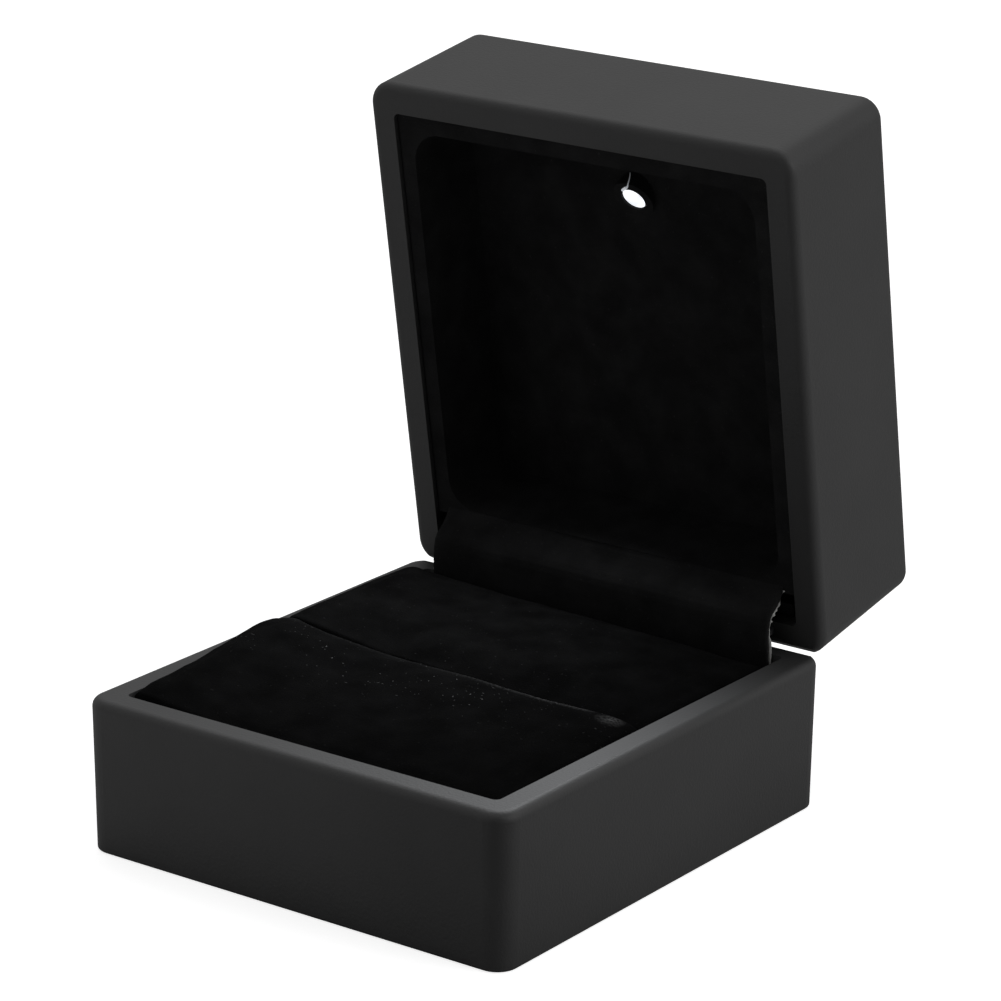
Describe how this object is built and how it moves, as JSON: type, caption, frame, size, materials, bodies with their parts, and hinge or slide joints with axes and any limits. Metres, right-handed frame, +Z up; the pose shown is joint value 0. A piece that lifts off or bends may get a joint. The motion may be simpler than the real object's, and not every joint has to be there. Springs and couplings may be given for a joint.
{
  "type": "ring display box",
  "caption": "Small hinged display box with drafted soft-touch shells, a two-roll velvet cushion with a display slot, and a lamp behind a flocked lid tray",
  "frame": {"origin": "centre of the base's underside, on the table", "axes": "+X to the box's right seen from its front, +Y to the back where the hinge is, +Z up"},
  "size_m": [0.061, 0.0846, 0.0854],
  "materials": {
    "shell_plastic": "moulded ABS with a soft-touch black paint, fine orange-peel grain",
    "velvet": "short black velvet pile, with a little lint",
    "flocked_plastic": "thin moulded tray flocked in the same black pile",
    "card": "grey-brown board, cut edges",
    "hinge_steel": "black-nickel-plated stamped sheet",
    "screw_steel": "zinc-plated screws",
    "spring_steel": "tempered strip, lightly blued",
    "lamp_lens": "clear domed epoxy lens, lit white",
    "lead_wire": "tinned wire",
    "board_green": "glass-fibre board with solder mask",
    "dark_plastic": "moulded black plastic",
    "cell_steel": "nickel-plated can",
    "strap_brass": "springy brass strip",
    "plunger_plastic": "black acetal",
    "wire_red": "insulated wire"
  },
  "bodies": {
    "base": {"base_shell": "shell_plastic", "cushion_board": "card", "front_cushion": "velvet", "back_cushion": "velvet", "hinge_base_leaf": "hinge_steel", "hinge_base_screws": "screw_steel", "hinge_pin": "hinge_steel", "detent_springs": "spring_steel", "hinge_cover": "velvet"},
    "lid": {"lid_shell": "shell_plastic", "hinge_lid_leaf": "hinge_steel", "hinge_lid_screws": "screw_steel", "lid_tray": "flocked_plastic", "led_lamp": "lamp_lens", "led_leads": "lead_wire", "circuit_board": "board_green", "resistor": "dark_plastic", "battery_holder": "dark_plastic", "coin_cell": "cell_steel", "battery_strap": "strap_brass", "board_screws": "screw_steel", "switch_body": "dark_plastic", "switch_wires": "wire_red"},
    "plunger": {"switch_plunger": "plunger_plastic"}
  },
  "joints": [
    {"name": "lid_hinge", "type": "hinge", "parent": "base", "child": "lid", "pos_m": [0, 0.0316, 0.0193], "axis": [1, 0, 0], "range_deg": [0, 80.6], "deforming": ["hinge_cover"]},
    {"name": "switch_slide", "type": "slide", "parent": "lid", "child": "plunger", "axis": [0, 0.9866, 0.1633], "range_m": [0, 0.00095]}
  ],
  "couplings": [
    {"joint": "switch_slide", "follows": "lid_hinge", "m_per_rad": 0.000675}
  ]
}
